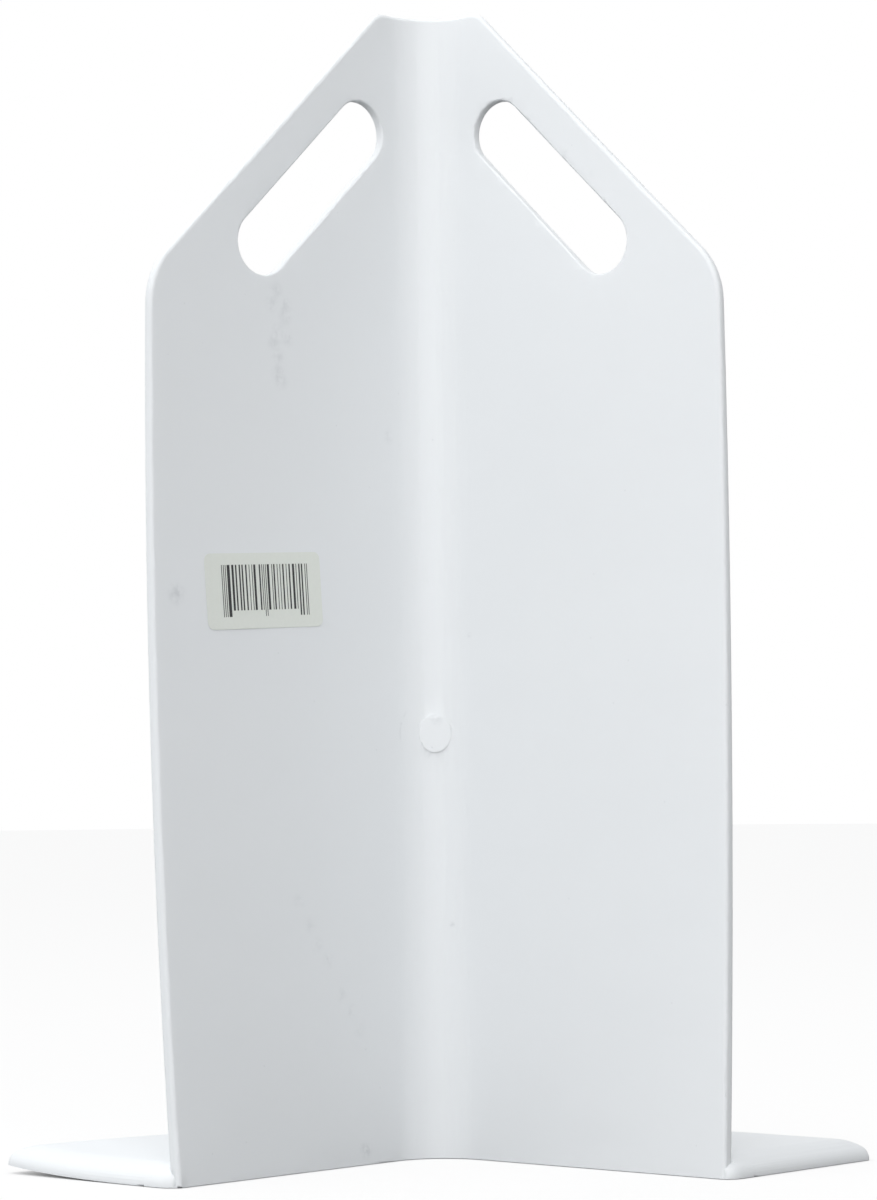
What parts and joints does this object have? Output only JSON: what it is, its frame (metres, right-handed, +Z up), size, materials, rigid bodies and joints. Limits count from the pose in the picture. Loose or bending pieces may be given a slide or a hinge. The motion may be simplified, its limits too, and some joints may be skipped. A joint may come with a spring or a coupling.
{
  "type": "corner guard",
  "caption": "Free-standing moulded plastic right-angle guard for the outside corner of a wall, with slanted shoulders, a hand slot in each wall, a foot plate and a barcode sticker inside.",
  "frame": {"origin": "on the floor, where the inner faces of the two walls would meet, so that the corner of the building comes to the Z axis", "axes": "+Z up; one wall runs along +X with its inner face at about y = 0, the other along -Y with its inner face at about x = 0; the foot plate is on the outer side, y > 0 and x < 0"},
  "size_m": [0.208, 0.208, 0.4],
  "materials": {
    "guard_plastic": "satin, white injection moulded plastic",
    "label_paper": "matt white label stock with black bars"
  },
  "bodies": {
    "root": {"corner_guard": "guard_plastic", "barcode_label": "label_paper"}
  },
  "joints": []
}
